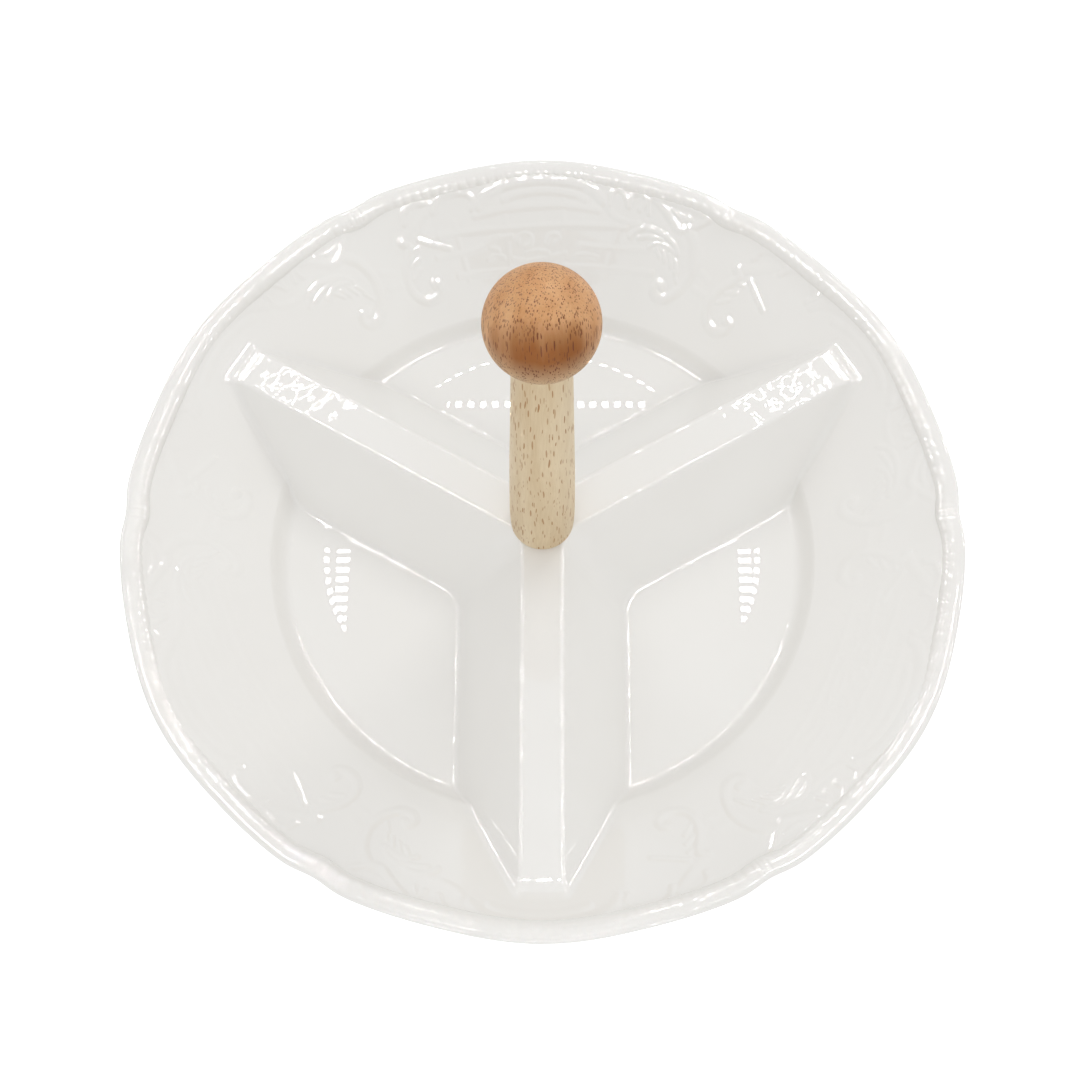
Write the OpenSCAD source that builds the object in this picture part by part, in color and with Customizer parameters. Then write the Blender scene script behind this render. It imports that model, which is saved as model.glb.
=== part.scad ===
/* [Bowl] */
// Mean diameter of the lobed rim
bowl_d = 250; // [200:1:320]
// Depth of a compartment, from the rim's crown to its floor
compartment_depth = 32.5; // [26:0.5:44]
// Width of the flared wall, seen from above
flare_w = 34.9; // [26:0.1:44]
// Height of the steep step between that edge and the floor
well_step_h = 5.4; // [3:0.1:8]
// Width of the steep step
well_step_w = 3.8; // [2:0.1:6]
// Radius of the hollow corner at the foot of the step
well_fillet_r = 4; // [2:0.1:6]
// Thickness of the flared wall
wall_t = 4.2; // [3:0.1:6]
// Thickness of the floor
floor_t = 4; // [3:0.1:5]
// Height of the foot ring under the floor
foot_h = 3.5; // [2:0.1:6]
// Width of the foot ring
foot_w = 4; // [2.5:0.1:8]
// How far the foot ring stands back from the edge of the floor
foot_inset = 3.5; // [1.5:0.1:12]

/* [Rim] */
// Width of the smooth band that crowns the rim
band_w = 5.4; // [4:0.1:8]
// Height of the band's crown over its inner edge
band_crown = 1; // [0.4:0.1:2]
// Step from the band's inner edge down to the flared wall
band_step = 1.4; // [0.8:0.1:2.5]
// Thickness of the rim at its outer edge
rim_t = 4.6; // [3.5:0.1:6]
// Rise of the soft point in the middle of a lobe
lobe_rise = 1.05; // [0:0.05:3]
// Rise of the shoulders beside a notch
shoulder_rise = 0.6; // [0:0.05:2]
// Depth of the notch between two lobes
notch_depth = 1.1; // [0:0.05:3]
// How much farther the lobes of the compartments stand out than those of the dividers
lobe_swell = 0.7; // [0:0.05:2]

/* [Dividers] */
// Drop from the rim's crown to the flat top of a divider
divider_drop = 7.9; // [5:0.1:14]
// Width of a divider's top
divider_top_w = 12; // [9:0.1:18]
// Width of a divider at the floor
divider_foot_w = 51.4; // [40:0.2:60]
// Radius of the two long edges of a divider's top
divider_edge_r = 1.8; // [0.8:0.1:3]
// Radius of the hollow corner between a divider and the floor
divider_fillet_r = 3; // [1.5:0.1:5]
// Radius of the hollow corner where two dividers meet
hub_fillet_r = 12.5; // [8:0.5:16]
// Thickness of the shell under a divider
divider_t = 4.5; // [3.5:0.1:6]
// Thickness of the hub where the handle is clamped
hub_t = 6; // [4.5:0.1:8]

/* [Handle] */
// Height of the ball's centre over the rim's crown
ball_h = 109; // [85:1:140]
// Diameter of the ball
ball_d = 28; // [24:0.5:36]
// Diameter of the stem at its foot
stem_foot_d = 18.8; // [16:0.2:22]
// Diameter of the stem where it is widest, a little over its foot
stem_belly_d = 19.2; // [16.4:0.2:23]
// Diameter of the stem under the ball
stem_top_d = 14.8; // [11:0.2:18]
// Radius of the stem's lower edge
stem_edge_r = 1.2; // [0.4:0.1:2]
// Diameter of the dowel between stem and ball
dowel_d = 6; // [4:0.5:8]
// Length of the dowel
dowel_l = 20; // [14:1:24]

/* [Fastening] */
// Diameter of the clamp screw
screw_d = 5; // [4:0.5:6]
// Length of the screw under its head
screw_l = 20; // [19:1:24]
// Diameter of the screw's head
screw_head_d = 9.6; // [8.6:0.1:11]
// Height of the screw's head
screw_head_h = 3.4; // [2.4:0.1:4.4]
// Width across flats of the socket in the head
socket_w = 3; // [2.5:0.5:4]
// Depth of that socket
socket_depth = 2; // [1:0.1:2.2]
// Outer diameter of both washers
washer_d = 15; // [12:0.5:16]
// Thickness of the metal washer
washer_t = 1.2; // [0.8:0.1:2]
// Thickness of the soft washer above it
cushion_t = 1.5; // [0.8:0.1:2]
// Wall of the threaded insert round the screw
insert_wall = 1.5; // [1:0.1:2.2]
// Length of the threaded insert
insert_l = 13; // [12:0.5:18]

/* [Hidden] */
$fn = 96;

// Clearances
overrun = 1;
thread_gap = 0.05;
washer_gap = 0.2;
hub_bore_gap = 0.5;
pocket_gap = 4.5;
insert_sink = 0.5;
tip_room = 1.5;
dowel_room = 0.5;

// Smaller sizes of the bowl
lobe_n = 6;
compartment_n = 3;
notch_angle_share = 0.047;
foot_edge = 0.6;
foot_splay = 0.8;
wall_end_share = 0.6;
wall_taper = 5;
rim_segments = 40;
arc_steps = 5;

// Rim section above and below its inner root: shares of the band's width from the rim inwards, with shares
// of the band's crown or of the rim's thickness downwards
rim_crown_shares = [[0.26, 0], [0.56, 0.12], [0.85, 0.45], [1, 1]];
rim_under_shares = [[0.6, 1], [0.25, 0.85], [0.06, 0.58], [0, 0.3], [0.09, 0.1]];
root_share = 1.06;

// Smaller sizes of the fastening
head_edge = 1;
insert_rib = 0.4;
insert_rib_n = 4;
stem_belly_share = 0.1;
stem_waist_share = 0.72;
stem_waist_bulge = 0.35;

// Levels and radii that follow from the sizes above
rim_r = bowl_d / 2;
foot_z = foot_h;
floor_z = foot_z + floor_t;
bowl_h = floor_z + compartment_depth;
well_r = rim_r - band_w - flare_w;
well_z = floor_z + well_step_h;
divider_z = bowl_h - divider_drop;
hub_z = divider_z - hub_t;
ball_z = bowl_h + ball_h;
band_root_r = rim_r - band_w;
band_root_z = bowl_h - band_crown - band_step;
wall_slope = (band_root_z - well_z) / (band_root_r - well_r);
wall_angle = atan(wall_slope);
wall_down = wall_t / cos(wall_angle);

// Rim outline: radius at the angle a, in degrees from +X
function lobe_u(a) =
    abs(((a + 180 / lobe_n) % (360 / lobe_n) + 360 / lobe_n) % (360 / lobe_n) - 180 / lobe_n);
function lobe_wave(u, half) = (1 - cos(360 * abs(u - half / 2) / half)) / 2;
function lobe_shape(u, half) =
    (u > half / 2 ? lobe_rise : shoulder_rise) * lobe_wave(u, half)
    - notch_depth * exp(-pow(u / (2 * half * notch_angle_share), 2));
function rim_at(a) =
    rim_r - shoulder_rise / 2
    + lobe_shape(lobe_u(a), 180 / lobe_n)
    + lobe_swell * cos(compartment_n * (a - 90));

// Flared wall: upper, lower and middle height at the radius r
function wall_top(r) = well_z + (r - well_r) * wall_slope;
wall_end_r = rim_r - band_w * wall_end_share;
wall_thin_r = wall_end_r - wall_taper;
wall_end_z = bowl_h - rim_t * wall_end_share - band_crown / 2;
function wall_low(r) = r < wall_thin_r
    ? wall_top(r) - wall_down
    : wall_top(wall_thin_r) - wall_down
        + (r - wall_thin_r) * (wall_end_z - wall_top(wall_thin_r) + wall_down) / wall_taper;
function wall_mid(r) = (wall_top(r) + wall_low(r)) / 2;

// Points along an arc of radius r about c, from angle a to angle b
function arc(c, r, a, b) = [
    for (i = [0:arc_steps])
        let (t = a + (b - a) * i / arc_steps)
            c + r * [cos(t), sin(t)]
];

// Section of the flared wall, the floor and the foot ring, from the axis outwards
step_angle = atan(well_step_h / well_step_w);
step_fillet_x = well_r - well_step_w - well_fillet_r * tan(step_angle / 2);
under_r = well_r - well_step_w + wall_t * tan(step_angle / 2) + wall_t / 10;
under_top_r = well_r + wall_t / 2;
foot_r = under_r - foot_inset;
module shell_section() {
    polygon(concat(
        [[0, foot_z], [0, floor_z]],
        arc([step_fillet_x, floor_z + well_fillet_r], well_fillet_r, -90, step_angle - 90),
        [
            [well_r, well_z],
            [wall_end_r, wall_top(wall_end_r)],
            [wall_end_r, wall_end_z],
            [wall_thin_r, wall_low(wall_thin_r)],
            [under_top_r, wall_low(under_top_r)],
            [under_r, foot_z],
            [foot_r, foot_z],
            [foot_r - foot_splay + foot_edge, foot_edge],
            [foot_r - foot_splay, 0],
            [foot_r - foot_w + foot_edge, 0],
            [foot_r - foot_w, foot_edge],
            [foot_r - foot_w - foot_splay, foot_z]
        ]));
}

// Space inside the bowl, down to the middle of its wall and floor
module inner_space() {
    rotate_extrude()
        polygon([
            [0, foot_z + floor_t / 2],
            [well_r - well_step_w, foot_z + floor_t / 2],
            [well_r, wall_mid(well_r)],
            [wall_end_r, wall_mid(wall_end_r)],
            [wall_end_r, bowl_h + overrun],
            [0, bowl_h + overrun]
        ]);
}

// Rim band: a section that follows the lobes, swept once round
function rim_section(a) =
    let (r = rim_at(a), root = r - band_w * root_share)
        concat(
            [for (s = rim_crown_shares) [r - band_w * s[0], bowl_h - band_crown * s[1]]],
            [[root, wall_mid(root)]],
            [for (s = rim_under_shares) [r - band_w * s[0], bowl_h - rim_t * s[1]]]);
rim_count = rim_segments * lobe_n;
rim_ring = len(rim_section(0));
function rim_angle(i) = let (f = i / rim_segments) (f - sin(360 * f) / (4 * PI)) * 360 / lobe_n;
module rim_band() {
    polyhedron(
        points = [
            for (i = [0:rim_count - 1])
                let (a = rim_angle(i))
                for (p = rim_section(a)) [p[0] * cos(a), p[0] * sin(a), p[1]]
        ],
        faces = [
            for (i = [0:rim_count - 1])
                for (j = [0:rim_ring - 1])
                    let (n = (i + 1) % rim_count, k = (j + 1) % rim_ring)
                    [i * rim_ring + j, i * rim_ring + k, n * rim_ring + k, n * rim_ring + j]
        ]);
}

// Divider: cross-section with eased top edges and a hollow corner at the floor
divider_h = divider_z - floor_z;
divider_run = (divider_foot_w - divider_top_w) / 2;
divider_angle = atan(divider_h / divider_run);
divider_shift = divider_t / sin(divider_angle);
edge_in = divider_edge_r * tan(divider_angle / 2);
fillet_out = divider_fillet_r * tan(divider_angle / 2);
divider_half = concat(
    arc([divider_foot_w / 2 + fillet_out, floor_z + divider_fillet_r],
        divider_fillet_r, -90, -90 - divider_angle),
    arc([divider_top_w / 2 - edge_in, divider_z - divider_edge_r], divider_edge_r, 90 - divider_angle, 90));
divider_half_n = len(divider_half);
module divider_section() {
    polygon(concat(
        [[divider_foot_w / 2 + fillet_out, foot_z]],
        divider_half,
        [for (i = [1:divider_half_n])
            let (p = divider_half[divider_half_n - i])
                [-p[0], p[1]]],
        [[-divider_foot_w / 2 - fillet_out, foot_z]]));
}

// Half width of the hollow under a divider, at the height z
function hollow_at(z) = divider_top_w / 2 + (divider_z - z) / tan(divider_angle) - divider_shift;
module hollow_section() {
    z_top = divider_z - divider_t;
    polygon([
        [hollow_at(-overrun), -overrun],
        [hollow_at(z_top), z_top],
        [-hollow_at(z_top), z_top],
        [-hollow_at(-overrun), -overrun]
    ]);
}

module along_dividers(length) {
    for (k = [0:compartment_n - 1])
        rotate([90, 0, 360 / compartment_n * k])
            linear_extrude(length) children();
}

// Hollow corner between two dividers: a rolling cylinder of the fillet radius, tangent to both flanks
corner_half = 90 - 180 / compartment_n;
valley_r = (divider_top_w / 2) / sin(180 / compartment_n);
valley_dr = divider_run / sin(180 / compartment_n);
valley_angle = atan(divider_h / valley_dr);
flank_cos = pow(sin(divider_angle), 2) * cos(2 * corner_half) + pow(cos(divider_angle), 2);
flank_half = acos(flank_cos) / 2;
hub_fillet_d = hub_fillet_r / cos(flank_half);
valley_l = norm([valley_dr, divider_h]);
module hub_corner() {
    translate([valley_r, 0, divider_z])
        rotate([0, 90 + valley_angle, 0])
            translate([0, 0, -valley_l / 2])
                linear_extrude(2 * valley_l)
                    difference() {
                        polygon([
                            [overrun, 0],
                            [0, -overrun],
                            [-hub_fillet_d + hub_fillet_r * cos(flank_half), -hub_fillet_r * sin(flank_half)],
                            [-hub_fillet_d + hub_fillet_r * cos(flank_half), hub_fillet_r * sin(flank_half)],
                            [0, overrun]
                        ]);
                        translate([-hub_fillet_d, 0]) circle(hub_fillet_r);
                    }
}
module hub_corners() {
    intersection() {
        union() {
            for (k = [0:compartment_n - 1])
                rotate(90 + 360 / compartment_n * k) hub_corner();
        }
        translate([0, 0, foot_z + floor_t / 2])
            cylinder(h = divider_z - foot_z - floor_t / 2, r = well_r - well_step_w);
    }
}

// Hollow underside of the dividers, round the flat seat of the washers
hollow_r = foot_r - foot_w - foot_splay - foot_edge;
hub_pocket_d = washer_d + 2 * pocket_gap;
module hollows() {
    difference() {
        intersection() {
            along_dividers(hollow_r) hollow_section();
            cylinder(h = 2 * bowl_h, r = hollow_r, center = true);
        }
        translate([0, 0, hub_z]) cylinder(h = bowl_h, d = hub_pocket_d);
    }
}

module bowl() {
    color("whitesmoke")
        difference() {
            union() {
                rotate_extrude() shell_section();
                rim_band();
                intersection() {
                    along_dividers(wall_end_r) divider_section();
                    inner_space();
                }
                hub_corners();
            }
            hollows();
            translate([0, 0, -overrun]) cylinder(h = hub_z + overrun, d = hub_pocket_d);
            cylinder(h = bowl_h, r = screw_d / 2 + hub_bore_gap);
        }
}

// Stem: turned profile, from its foot on the hub to the flat of the ball
stem_z = divider_z;
insert_d = screw_d + 2 * insert_wall;
ball_flat = sqrt(pow(ball_d / 2, 2) - pow(stem_top_d / 2, 2));
stem_top_z = ball_z - ball_flat;
stem_l = stem_top_z - stem_z;
insert_z = stem_z + insert_sink;
insert_hole_l = max(insert_l, screw_l - hub_t - washer_t - cushion_t) + insert_sink + tip_room;
module stem_profile() {
    polygon(concat(
        [[0, stem_z]],
        arc([stem_foot_d / 2 - stem_edge_r, stem_z + stem_edge_r], stem_edge_r, -90, 0),
        [
            [stem_belly_d / 2, stem_z + stem_l * stem_belly_share],
            [
                stem_belly_d / 2 + (stem_top_d - stem_belly_d) / 2 * stem_waist_share / 2 + stem_waist_bulge,
                stem_z + stem_l * stem_waist_share / 2
            ],
            [
                stem_belly_d / 2 + (stem_top_d - stem_belly_d) / 2 * stem_waist_share + stem_waist_bulge / 2,
                stem_z + stem_l * stem_waist_share
            ],
            [stem_top_d / 2, stem_top_z],
            [0, stem_top_z]
        ]));
}
module handle_stem() {
    color("burlywood")
        difference() {
            rotate_extrude() stem_profile();
            translate([0, 0, stem_z - overrun]) cylinder(h = insert_sink + insert_l + overrun, d = insert_d);
            translate([0, 0, stem_z]) cylinder(h = insert_hole_l, d = screw_d + 2 * hub_bore_gap);
            translate([0, 0, stem_top_z - dowel_l / 2 - dowel_room])
                cylinder(h = dowel_l, d = dowel_d);
        }
}

module handle_ball() {
    color("peru")
        difference() {
            translate([0, 0, ball_z]) sphere(d = ball_d);
            translate([0, 0, stem_top_z - ball_d]) cylinder(h = ball_d, d = ball_d);
            translate([0, 0, stem_top_z - overrun])
                cylinder(h = dowel_l / 2 + dowel_room + overrun, d = dowel_d);
        }
}

module ball_dowel() {
    color("tan")
        translate([0, 0, stem_top_z - dowel_l / 2]) cylinder(h = dowel_l, d = dowel_d);
}

module thread_insert() {
    rib_pitch = insert_l / insert_rib_n;
    color("goldenrod")
        difference() {
            translate([0, 0, insert_z]) cylinder(h = insert_l, d = insert_d);
            for (k = [0:insert_rib_n - 1])
                translate([0, 0, insert_z + rib_pitch * (k + 0.25)])
                    difference() {
                        cylinder(h = rib_pitch / 4, d = insert_d + overrun);
                        cylinder(h = rib_pitch / 4, d = insert_d - 2 * insert_rib);
                    }
            translate([0, 0, insert_z - overrun])
                cylinder(h = insert_l + 2 * overrun, r = screw_d / 2 + thread_gap);
        }
}

// Clamp screw and washers, drawn up tight under the hub
cushion_z = hub_z - cushion_t;
washer_z = cushion_z - washer_t;
module clamp_screw() {
    color("silver")
        difference() {
            union() {
                translate([0, 0, washer_z]) cylinder(h = screw_l, d = screw_d);
                rotate_extrude()
                    polygon([
                        [0, washer_z - screw_head_h],
                        [screw_head_d / 2 - head_edge, washer_z - screw_head_h],
                        [screw_head_d / 2, washer_z - screw_head_h + head_edge],
                        [screw_head_d / 2, washer_z],
                        [0, washer_z]
                    ]);
            }
            translate([0, 0, washer_z - screw_head_h - overrun])
                cylinder(h = socket_depth + overrun, d = socket_w / cos(30), $fn = 6);
        }
}

module washer(z, t) {
    translate([0, 0, z])
        difference() {
            cylinder(h = t, d = washer_d);
            translate([0, 0, -overrun])
                cylinder(h = t + 2 * overrun, r = screw_d / 2 + washer_gap);
        }
}
module screw_washer() {
    color("silver") washer(washer_z, washer_t);
}
module cushion_washer() {
    color("dimgray") washer(cushion_z, cushion_t);
}

bowl();
handle_stem();
handle_ball();
ball_dowel();
thread_insert();
clamp_screw();
screw_washer();
cushion_washer();
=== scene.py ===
# %% [markdown]
# # A divided porcelain bowl with a wooden handle
# The bowl is one fired piece: three flat compartments, three broad ridges that part them, a flared wall with a
# low rococo relief, and a lobed rim with a crimped band. A turned stem with a ball stands on the hub, held by a
# screw from beneath. The imported model is loaded first as a fixed frame. Its box is kept.

# %% Load the frame
import math
import bpy
import numpy as np
from mathutils import Matrix, Vector


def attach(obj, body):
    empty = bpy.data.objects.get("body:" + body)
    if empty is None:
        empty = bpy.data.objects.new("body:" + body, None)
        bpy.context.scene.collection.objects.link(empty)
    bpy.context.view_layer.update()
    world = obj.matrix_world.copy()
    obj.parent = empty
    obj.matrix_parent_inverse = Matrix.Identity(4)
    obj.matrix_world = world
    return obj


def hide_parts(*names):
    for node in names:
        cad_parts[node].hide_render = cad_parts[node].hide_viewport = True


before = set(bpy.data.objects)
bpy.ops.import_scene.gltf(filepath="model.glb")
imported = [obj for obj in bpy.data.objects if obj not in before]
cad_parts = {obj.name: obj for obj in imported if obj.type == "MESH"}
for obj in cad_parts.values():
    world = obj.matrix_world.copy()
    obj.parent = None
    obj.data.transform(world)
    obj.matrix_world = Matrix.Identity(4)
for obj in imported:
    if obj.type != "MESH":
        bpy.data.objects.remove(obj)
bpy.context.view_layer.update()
MM = 0.001

# %% [markdown]
# ## Camera
# The picture was taken from high in front with a normal lens. The lens, the height and the slight roll come
# from a fit of the rim's outline and the notches between its lobes. The camera is turned by the small angle
# that the bowl was turned in the picture, so the bowl itself stays square in its own frame.

# %% Set the camera
CAMERA_PLACE = (0.71, -178.43, 452.86)
CAMERA_TILT, CAMERA_ROLL, BOWL_TURN = 67.713, -0.377, 0.465
SENSOR_W, LENS_SHARE = 36, 1513.6 / 1080


def spin(degrees, axis):
    return Matrix.Rotation(math.radians(degrees), 4, axis)


camera = bpy.data.objects.new("camera", bpy.data.cameras.new("camera"))
bpy.context.scene.collection.objects.link(camera)
camera.data.sensor_width = SENSOR_W
camera.data.lens = SENSOR_W * LENS_SHARE
camera.data.clip_start = 0.01
camera.location = [c * MM for c in CAMERA_PLACE]
camera.rotation_mode = "QUATERNION"
aim = spin(BOWL_TURN, "Z") @ spin(90 - CAMERA_TILT, "X") @ spin(CAMERA_ROLL, "Z")
camera.rotation_quaternion = aim.to_quaternion()
bpy.context.scene.camera = camera
print("lens, mm:", round(camera.data.lens, 2))

# %% [markdown]
# ## Sizes of the bowl
# All sizes are in millimetres and the same as the solid's. The inside of the bowl can be seen as a landscape:
# above each point of the table there is one height. So its form is written as a few planes and cones, and the
# hollow and rounded corners between them come from a soft maximum or minimum, as wet clay rounds every corner.

# %% Sizes and soft corners
RIM_R, BOWL_H, FLOOR_Z, FOOT_Z = 125.0, 40.0, 7.5, 3.5
BAND_W, BAND_DEPTH, BAND_INSET = 5.4, 2.4, 5.2  # the wall's sheet ends at the inset, under the band
STEP_R, STEP_H, STEP_W, WALL_T = 84.7, 5.4, 3.8, 4.2
WALL_SLOPE = (BOWL_H - BAND_DEPTH - FLOOR_Z - STEP_H) / (RIM_R - BAND_W - STEP_R)
RIDGE_Z, RIDGE_TOP, RIDGE_FOOT, RIDGE_T = 32.1, 6.0, 25.7, 4.5  # top and foot are half widths
FLANK = (RIDGE_Z - FLOOR_Z) / (RIDGE_FOOT - RIDGE_TOP)
RIDGE_END, END_SLOPE = 105.5, 0.26
RIDGE_TURNS = (30, 150, 270)
MARGIN_R, MARGIN_RISE = 67.0, 0.6  # the floor's edge lifts a little
HUB_SEAT_Z, BORE_R, POCKET_R = 26.1, 3.0, 12.0
RELIEF_SHARE, LATTICE_SHARE = 0.36, 0.5
RIM_DROP, MIDDLE_RISE, END_RISE, THIRD_RISE = 0.3, 1.05, 0.6, 0.7  # waves of the rim's outline
NOTCH_DEPTH, NOTCH_TURN = 1.1, 2.82


def soft_max(a, b, k):
    """The higher of two heights, with a hollow corner about k deep."""
    h = np.maximum(k - np.abs(a - b), 0) / k
    return np.maximum(a, b) + h * h * k / 4


def soft_min(a, b, k):
    """The lower of two heights, with a rounded corner."""
    return -soft_max(-a, -b, k)


def from_notch(turn):
    """Degrees to the nearest notch between two lobes."""
    return np.abs((turn + 30) % 60 - 30)


def rim_at(turn):
    """Radius of the lobed rim at an angle in degrees."""
    u = from_notch(turn)
    wave = (1 - np.cos(np.radians(12 * np.abs(u - 15)))) / 2
    lobe = np.where(u > 15, MIDDLE_RISE, END_RISE) * wave - NOTCH_DEPTH * np.exp(-(u / NOTCH_TURN) ** 2)
    return RIM_R - RIM_DROP + lobe + THIRD_RISE * np.cos(np.radians(3 * (turn - 90)))


def polar(x, y):
    return np.hypot(x, y), np.degrees(np.arctan2(y, x))


round_rim = rim_at(np.arange(360.0))
print("rim radius from", round(round_rim.min(), 2), "to", round(round_rim.max(), 2))

# %% [markdown]
# ## Relief on the wall
# Under the rim every lobe carries the same low ornament: a long arch, small C-shaped arcs, a feather and two
# large C-scrolls with combs, which are common rococo forms. The lobes over the compartments also have bars and
# posts like basketwork. Each ridge of clay is drawn here as a stroke: its width, its height and a few points,
# in millimetres along the wall from the lobe's middle and in millimetres from the axis.

# %% Strokes of the relief
LOBE_STROKES = [
    (2.3, 0.62, [(-20.5, 113.7), (-18.4, 116.3), (-13.4, 118.2), (-7.6, 119), (0.7, 119.4), (9.1, 119),
        (14.9, 117.8), (18.9, 115.2)]),
    (1.9, 0.4, [(-12.4, 115), (-7.6, 116.2), (0.7, 116.8), (9.1, 116.2), (13.4, 115)]),
    (1.7, 0.6, [(-44.7, 114.5), (-43.9, 117), (-40.1, 118.5), (-35.5, 117.2)]),
    (1.7, 0.6, [(-34.9, 115), (-33.2, 117.6), (-29.3, 118.6), (-24.3, 118), (-21.9, 115.6), (-22.8, 113.8)]),
    (2.2, 0.45, [(-35.8, 116.8), (-39.3, 114.3), (-43.8, 111.4), (-47.8, 109.9)]),
    (1.3, 0.6, [(21.2, 114.5), (21.3, 117.4), (23.7, 118.8), (26, 116.8), (27, 115)]),
    (1.3, 0.6, [(27.3, 115), (27.6, 117.8), (30, 119), (32, 117.6), (31, 114.8)]),
    (1.3, 0.6, [(33.9, 114.5), (33, 117.2), (34.6, 118.8), (36.8, 118.2)]),
    (1.6, 0.35, [(20.7, 114.2), (23.2, 112), (28.2, 110.8), (31.7, 111)]),
    (1.7, 0.6, [(36.8, 118.9), (42.4, 119.2), (48.2, 118.9), (52.4, 118)]),
    (1.9, 0.65, [(34.6, 118.6), (38.2, 116.6), (41.6, 114.4), (44.5, 112.8), (46.8, 113.4), (49.3, 115),
        (52.4, 118)]),
    (1.2, 0.4, [(40.6, 117), (44, 116), (47.6, 116.2)]),
    (2.5, 0.7, [(47.6, 113.6), (51.4, 110.4), (53.5, 106.2), (53.9, 102), (52.3, 97.8), (49.1, 94.7),
        (45.3, 94.1), (43.2, 95.6), (44.3, 97.3), (46.2, 96.8)]),
    (1.5, 0.5, [(29.9, 107.4), (32, 109.7), (35.7, 110.7), (39.9, 110.2), (44.1, 109), (46.9, 106.8)]),
    (1.3, 0.45, [(36.8, 105.8), (39.1, 107.4), (42.4, 107.6), (45.7, 106.8)]),
    (1.2, 0.45, [(32.6, 107.6), (36.4, 108.6), (40.6, 108.9)]),
    (1.1, 0.45, [(39.5, 106.1), (41.6, 104.2)]),
    (1.1, 0.45, [(42, 106), (43.8, 103.6)]),
    (1.1, 0.45, [(44.6, 105.6), (46.4, 102.9)]),
    (1.1, 0.45, [(47.2, 104.6), (49.2, 101.9)]),
    (1.1, 0.45, [(48.4, 102), (50.4, 99.6)]),
    (2.3, 0.65, [(-47.8, 109.9), (-46, 108), (-48, 104.9), (-49.8, 102), (-50.6, 98.7), (-49.8, 95.5),
        (-46.8, 93.3), (-42.6, 92.8), (-40, 94.2), (-39.9, 96.1), (-41.8, 96.8)]),
    (1.2, 0.4, [(-46.4, 106.6), (-43.2, 107)]),
    (1.2, 0.4, [(-47.4, 103), (-43.9, 104.3)]),
    (1.2, 0.4, [(-48.2, 99.6), (-45, 101.6)]),
    (1.4, 0.4, [(-42.2, 109.1), (-38.4, 107), (-32.6, 104.5)]),
    (1.7, 0.25, [(-58, 104.6), (-54.3, 103.4)]),
    (1.7, 0.25, [(-58, 100), (-53, 99.6)]),
]
LATTICE_STROKES = [
    (1.9, 0.5, [(-22.2, 111.8), (-7.6, 112.7), (6.6, 113.2), (17.8, 112.8)]),
    (1.7, 0.5, [(-35.1, 108.7), (-24.3, 107.8), (-7.6, 107.2), (9.1, 108), (25.7, 109.3), (28.2, 109.7)]),
    (1.6, 0.45, [(-37.6, 103.1), (-30.1, 102.6), (-22.6, 102.8), (-15.9, 104.7), (-10.9, 105.2)]),
    (1.6, 0.45, [(13.2, 102.8), (21.6, 103), (34.1, 104.7), (40.7, 106.4)]),
    (1.7, 0.5, [(-31.8, 96.8), (-20.1, 96.2), (-7.6, 96), (9.1, 96.8), (25.7, 97.8), (40.6, 99.6)]),
    (1.6, 0.2, [(-12.6, 113.7), (-12.2, 96.2)]),
    (1.6, 0.2, [(6.6, 114.5), (7, 94.6)]),
    (1.6, 0.25, [(-29.3, 111.2), (-28.4, 95.3)]),
    (1.6, 0.25, [(25.4, 108.3), (23.8, 95.3)]),
    (1.4, 0.4, [(-15.2, 105.4), (-18.4, 105), (-19.8, 103.6), (-15.9, 101.8)]),
    (1.4, 0.4, [(-10.9, 98.9), (-5.9, 98.3), (0.7, 98.8), (8.2, 100.4)]),
    (1.3, 0.45, [(-8.6, 103.6), (-8.2, 105), (-6.2, 105.8), (-4.1, 104.8), (-4.2, 102.8), (-6.2, 102.2)]),
    (1.3, 0.45, [(1.3, 103), (2.4, 105), (4.6, 105.4), (6, 104.2), (4.4, 103)]),
    (1.3, 0.4, [(-6, 100.4), (-2, 100.9), (2, 100.4)]),
    (1.3, 0.35, [(-20, 99.6), (-17, 100.4), (-14, 99.6)]),
    (1.3, 0.35, [(12, 100), (16, 100.6), (20, 100.2)]),
]
print("relief strokes:", len(LOBE_STROKES), "on each lobe,", len(LATTICE_STROKES), "more over compartments")

# %% [markdown]
# The strokes are stamped into a height map of one lobe, which the wall then reads. Each stroke is laid down
# three times, one lobe's length apart, so that what runs over the end of one lobe comes in again at the next.

# %% Height map of one lobe
MAP_STEP, LOBE_ARC_R = 0.12, 110.0
MAP_X0, MAP_X1, MAP_R0, MAP_R1 = -62.0, 62.0, 86.0, 123.0
LOBE_LENGTH = 2 * LOBE_ARC_R * math.radians(30)
STROKE_REACH, SOFTEN_ROUNDS = 0.8, 3
map_x = np.arange(MAP_X0, MAP_X1, MAP_STEP)
map_r = np.arange(MAP_R0, MAP_R1, MAP_STEP)


def smooth_line(points, steps=6):
    """A Catmull-Rom curve through the points."""
    p = np.array([points[0], *points, points[-1]], float)
    out = [p[1]]
    for a, b, c, d in zip(p, p[1:], p[2:], p[3:]):
        for t in np.arange(1, steps + 1) / steps:
            bend = (2 * a - 5 * b + 4 * c - d) * t**2
            out.append(0.5 * (2 * b + (c - a) * t + bend + (3 * b - a - 3 * c + d) * t**3))
    return np.array(out)


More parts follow.
